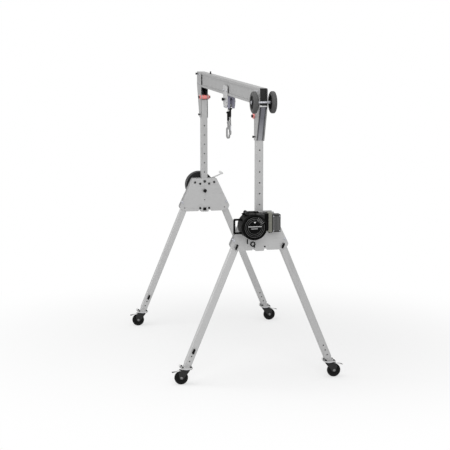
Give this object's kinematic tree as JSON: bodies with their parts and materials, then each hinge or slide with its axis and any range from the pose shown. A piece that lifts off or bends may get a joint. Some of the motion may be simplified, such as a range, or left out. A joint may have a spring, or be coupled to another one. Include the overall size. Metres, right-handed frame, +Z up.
{
  "type": "folding gantry crane",
  "caption": "Folding aluminium gantry crane: box beam with sliding trolley and hooks, height-adjustable folding A-stands on braked castors, winch and rescue block.",
  "frame": {"origin": "on the floor, under the middle of the beam: the centre of the bounding box's base", "axes": "+Z up, +X along the beam towards the stand with the rescue block and the transport wheels, Y across the stands"},
  "size_m": [3.14, 1.63, 2.7581],
  "materials": {
    "alloy_tube": "satin anodised extrusion",
    "alloy_plate": "satin anodised plate",
    "zinc_steel": "bright zinc plate",
    "steel_dark": "dark satin coat",
    "black_plastic": "moulded, satin",
    "red_bush": "red anodised",
    "wheel_rubber": "grey-black rubber",
    "castor_rubber": "black rubber",
    "olive_plate": "olive-grey coat",
    "wire_rope": "galvanised strands"
  },
  "bodies": {
    "beam": {"beam": "alloy_tube", "end_caps": "black_plastic", "head_near": "alloy_plate", "head_far": "alloy_plate", "pivot_bushes": "red_bush", "transport_axle": "zinc_steel"},
    "transport_wheel_left": {"transport_wheel_left": "wheel_rubber"},
    "transport_wheel_right": {"transport_wheel_right": "wheel_rubber"},
    "near_upright": {"upright_near": "alloy_tube"},
    "near_head_plunger": {"head_plunger_near": "black_plastic"},
    "near_stand": {"stand_plates_near": "alloy_plate", "stand_bolts_near": "steel_dark", "guide_blocks_near": "black_plastic", "rescue_block": "black_plastic", "rescue_gearbox": "olive_plate"},
    "near_height_plunger": {"height_plunger_near": "black_plastic"},
    "near_left_leg_pin": {"leg_pin_near_left": "black_plastic"},
    "near_left_leg": {"leg_near_left": "alloy_tube"},
    "near_left_foot": {"foot_near_left": "alloy_tube"},
    "near_left_fork": {"fork_near_left": "steel_dark"},
    "near_left_wheel": {"wheel_near_left": "castor_rubber"},
    "near_left_brake": {"brake_near_left": "zinc_steel"},
    "near_right_leg_pin": {"leg_pin_near_right": "black_plastic"},
    "near_right_leg": {"leg_near_right": "alloy_tube"},
    "near_right_foot": {"foot_near_right": "alloy_tube"},
    "near_right_fork": {"fork_near_right": "steel_dark"},
    "near_right_wheel": {"wheel_near_right": "castor_rubber"},
    "near_right_brake": {"brake_near_right": "zinc_steel"},
    "far_upright": {"upright_far": "alloy_tube"},
    "far_head_plunger": {"head_plunger_far": "black_plastic"},
    "far_stand": {"stand_plates_far": "alloy_plate", "stand_bolts_far": "steel_dark", "guide_blocks_far": "black_plastic", "winch": "black_plastic"},
    "far_height_plunger": {"height_plunger_far": "black_plastic"},
    "far_left_leg_pin": {"leg_pin_far_left": "black_plastic"},
    "far_left_leg": {"leg_far_left": "alloy_tube"},
    "far_left_foot": {"foot_far_left": "alloy_tube"},
    "far_left_fork": {"fork_far_left": "steel_dark"},
    "far_left_wheel": {"wheel_far_left": "castor_rubber"},
    "far_left_brake": {"brake_far_left": "zinc_steel"},
    "far_right_leg_pin": {"leg_pin_far_right": "black_plastic"},
    "far_right_leg": {"leg_far_right": "alloy_tube"},
    "far_right_foot": {"foot_far_right": "alloy_tube"},
    "far_right_fork": {"fork_far_right": "steel_dark"},
    "far_right_wheel": {"wheel_far_right": "castor_rubber"},
    "far_right_brake": {"brake_far_right": "zinc_steel"},
    "trolley": {"trolley_frame": "alloy_plate", "rope_near": "wire_rope", "rope_far": "wire_rope"},
    "trolley_rollers_near": {"trolley_rollers_near": "black_plastic"},
    "sheave_near": {"sheave_near": "zinc_steel"},
    "hook_near": {"hook_near": "zinc_steel"},
    "hook_gate_near": {"hook_gate_near": "zinc_steel"},
    "trolley_rollers_far": {"trolley_rollers_far": "black_plastic"},
    "sheave_far": {"sheave_far": "zinc_steel"},
    "hook_far": {"hook_far": "zinc_steel"},
    "hook_gate_far": {"hook_gate_far": "zinc_steel"},
    "rescue_crank": {"rescue_crank": "steel_dark"},
    "winch_crank": {"winch_crank": "zinc_steel"}
  },
  "joints": [
    {"name": "transport_wheel_left_spin", "type": "hinge", "parent": "beam", "child": "transport_wheel_left", "pos_m": [1.47, -0.0855, 2.605], "axis": [0, 1, 0], "continuous": true},
    {"name": "transport_wheel_right_spin", "type": "hinge", "parent": "beam", "child": "transport_wheel_right", "pos_m": [1.47, 0.0855, 2.605], "axis": [0, 1, 0], "continuous": true},
    {"name": "near_fold", "type": "hinge", "parent": "beam", "child": "near_upright", "pos_m": [1.27, 0, 2.467], "axis": [0, 1, 0], "range_deg": [0, 70]},
    {"name": "near_head_plunger", "type": "slide", "parent": "beam", "child": "near_head_plunger", "axis": [0, 1, 0], "range_m": [0, 0.008]},
    {"name": "near_height", "type": "slide", "parent": "near_upright", "child": "near_stand", "axis": [0, 0, 1], "range_m": [0, 0.6]},
    {"name": "near_height_plunger", "type": "slide", "parent": "near_stand", "child": "near_height_plunger", "axis": [1, 0, 0], "range_m": [0, 0.012]},
    {"name": "near_left_leg_pin", "type": "slide", "parent": "near_stand", "child": "near_left_leg_pin", "axis": [-1, 0, 0], "range_m": [0, 0.015]},
    {"name": "near_left_leg_fold", "type": "hinge", "parent": "near_stand", "child": "near_left_leg", "pos_m": [1.3, -0.105, 1.55], "axis": [1, 0, 0], "range_deg": [0, 22.5]},
    {"name": "near_left_foot_slide", "type": "slide", "parent": "near_left_leg", "child": "near_left_foot", "axis": [0, -0.3827, -0.9239], "range_m": [0, 0.15]},
    {"name": "near_left_castor_swivel", "type": "hinge", "parent": "near_left_foot", "child": "near_left_fork", "pos_m": [1.3, -0.68283, 0.12], "axis": [0, 0, 1], "continuous": true},
    {"name": "near_left_castor_spin", "type": "hinge", "parent": "near_left_fork", "child": "near_left_wheel", "pos_m": [1.3, -0.72983, 0.0635], "axis": [1, 0, 0], "continuous": true},
    {"name": "near_left_brake_pedal", "type": "hinge", "parent": "near_left_fork", "child": "near_left_brake", "pos_m": [1.3, -0.73883, 0.131], "axis": [1, 0, 0], "range_deg": [0, 6]},
    {"name": "near_right_leg_pin", "type": "slide", "parent": "near_stand", "child": "near_right_leg_pin", "axis": [-1, 0, 0], "range_m": [0, 0.015]},
    {"name": "near_right_leg_fold", "type": "hinge", "parent": "near_stand", "child": "near_right_leg", "pos_m": [1.3, 0.105, 1.55], "axis": [1, 0, 0], "range_deg": [-22.5, 0]},
    {"name": "near_right_foot_slide", "type": "slide", "parent": "near_right_leg", "child": "near_right_foot", "axis": [0, 0.3827, -0.9239], "range_m": [0, 0.15]},
    {"name": "near_right_castor_swivel", "type": "hinge", "parent": "near_right_foot", "child": "near_right_fork", "pos_m": [1.3, 0.68283, 0.12], "axis": [0, 0, 1], "continuous": true},
    {"name": "near_right_castor_spin", "type": "hinge", "parent": "near_right_fork", "child": "near_right_wheel", "pos_m": [1.3, 0.72983, 0.0635], "axis": [1, 0, 0], "continuous": true},
    {"name": "near_right_brake_pedal", "type": "hinge", "parent": "near_right_fork", "child": "near_right_brake", "pos_m": [1.3, 0.73883, 0.131], "axis": [-1, 0, 0], "range_deg": [0, 6]},
    {"name": "far_fold", "type": "hinge", "parent": "beam", "child": "far_upright", "pos_m": [-1.27, 0, 2.467], "axis": [0, 1, 0], "range_deg": [-70, 0]},
    {"name": "far_head_plunger", "type": "slide", "parent": "beam", "child": "far_head_plunger", "axis": [0, 1, 0], "range_m": [0, 0.008]},
    {"name": "far_height", "type": "slide", "parent": "far_upright", "child": "far_stand", "axis": [0, 0, 1], "range_m": [0, 0.6]},
    {"name": "far_height_plunger", "type": "slide", "parent": "far_stand", "child": "far_height_plunger", "axis": [-1, 0, 0], "range_m": [0, 0.012]},
    {"name": "far_left_leg_pin", "type": "slide", "parent": "far_stand", "child": "far_left_leg_pin", "axis": [1, 0, 0], "range_m": [0, 0.015]},
    {"name": "far_left_leg_fold", "type": "hinge", "parent": "far_stand", "child": "far_left_leg", "pos_m": [-1.3, -0.105, 1.55], "axis": [1, 0, 0], "range_deg": [0, 22.5]},
    {"name": "far_left_foot_slide", "type": "slide", "parent": "far_left_leg", "child": "far_left_foot", "axis": [0, -0.3827, -0.9239], "range_m": [0, 0.15]},
    {"name": "far_left_castor_swivel", "type": "hinge", "parent": "far_left_foot", "child": "far_left_fork", "pos_m": [-1.3, -0.68283, 0.12], "axis": [0, 0, 1], "continuous": true},
    {"name": "far_left_castor_spin", "type": "hinge", "parent": "far_left_fork", "child": "far_left_wheel", "pos_m": [-1.3, -0.72983, 0.0635], "axis": [1, 0, 0], "continuous": true},
    {"name": "far_left_brake_pedal", "type": "hinge", "parent": "far_left_fork", "child": "far_left_brake", "pos_m": [-1.3, -0.73883, 0.131], "axis": [1, 0, 0], "range_deg": [0, 6]},
    {"name": "far_right_leg_pin", "type": "slide", "parent": "far_stand", "child": "far_right_leg_pin", "axis": [1, 0, 0], "range_m": [0, 0.015]},
    {"name": "far_right_leg_fold", "type": "hinge", "parent": "far_stand", "child": "far_right_leg", "pos_m": [-1.3, 0.105, 1.55], "axis": [1, 0, 0], "range_deg": [-22.5, 0]},
    {"name": "far_right_foot_slide", "type": "slide", "parent": "far_right_leg", "child": "far_right_foot", "axis": [0, 0.3827, -0.9239], "range_m": [0, 0.15]},
    {"name": "far_right_castor_swivel", "type": "hinge", "parent": "far_right_foot", "child": "far_right_fork", "pos_m": [-1.3, 0.68283, 0.12], "axis": [0, 0, 1], "continuous": true},
    {"name": "far_right_castor_spin", "type": "hinge", "parent": "far_right_fork", "child": "far_right_wheel", "pos_m": [-1.3, 0.72983, 0.0635], "axis": [1, 0, 0], "continuous": true},
    {"name": "far_right_brake_pedal", "type": "hinge", "parent": "far_right_fork", "child": "far_right_brake", "pos_m": [-1.3, 0.73883, 0.131], "axis": [-1, 0, 0], "range_deg": [0, 6]},
    {"name": "trolley_slide", "type": "slide", "parent": "beam", "child": "trolley", "axis": [-1, 0, 0], "range_m": [-1.1, 1.1]},
    {"name": "trolley_rollers_near_spin", "type": "hinge", "parent": "trolley", "child": "trolley_rollers_near", "pos_m": [0.064, 0, 2.61735], "axis": [0, 1, 0], "continuous": true},
    {"name": "sheave_near_spin", "type": "hinge", "parent": "trolley", "child": "sheave_near", "pos_m": [0.073, 0, 2.515], "axis": [0, 1, 0], "continuous": true},
    {"name": "hook_near_swivel", "type": "hinge", "parent": "trolley", "child": "hook_near", "pos_m": [0.048, 0, 2.295], "axis": [0, 0, 1], "continuous": true},
    {"name": "hook_near_gate", "type": "hinge", "parent": "hook_near", "child": "hook_gate_near", "pos_m": [0.071, 0, 2.277], "axis": [0, 1, 0], "range_deg": [0, 25], "stiffness_Nm_per_rad": 0.05},
    {"name": "trolley_rollers_far_spin", "type": "hinge", "parent": "trolley", "child": "trolley_rollers_far", "pos_m": [-0.064, 0, 2.61735], "axis": [0, 1, 0], "continuous": true},
    {"name": "sheave_far_spin", "type": "hinge", "parent": "trolley", "child": "sheave_far", "pos_m": [-0.073, 0, 2.515], "axis": [0, 1, 0], "continuous": true},
    {"name": "hook_far_swivel", "type": "hinge", "parent": "trolley", "child": "hook_far", "pos_m": [-0.048, 0, 2.25], "axis": [0, 0, 1], "continuous": true},
    {"name": "hook_far_gate", "type": "hinge", "parent": "hook_far", "child": "hook_gate_far", "pos_m": [-0.02639, 0.00787, 2.232], "axis": [-0.342, 0.9397, 0], "range_deg": [0, 25], "stiffness_Nm_per_rad": 0.05},
    {"name": "rescue_crank_spin", "type": "hinge", "parent": "near_stand", "child": "rescue_crank", "pos_m": [1.4164, -0.15119, 1.6053], "axis": [1, 0, 0], "continuous": true},
    {"name": "winch_crank_spin", "type": "hinge", "parent": "far_stand", "child": "winch_crank", "pos_m": [-1.36, -0.036, 1.508], "axis": [1, 0, 0], "continuous": true}
  ],
  "couplings": [
    {"joint": "trolley_rollers_near_spin", "follows": "trolley_slide", "rad_per_m": -50},
    {"joint": "trolley_rollers_far_spin", "follows": "trolley_slide", "rad_per_m": -50}
  ]
}
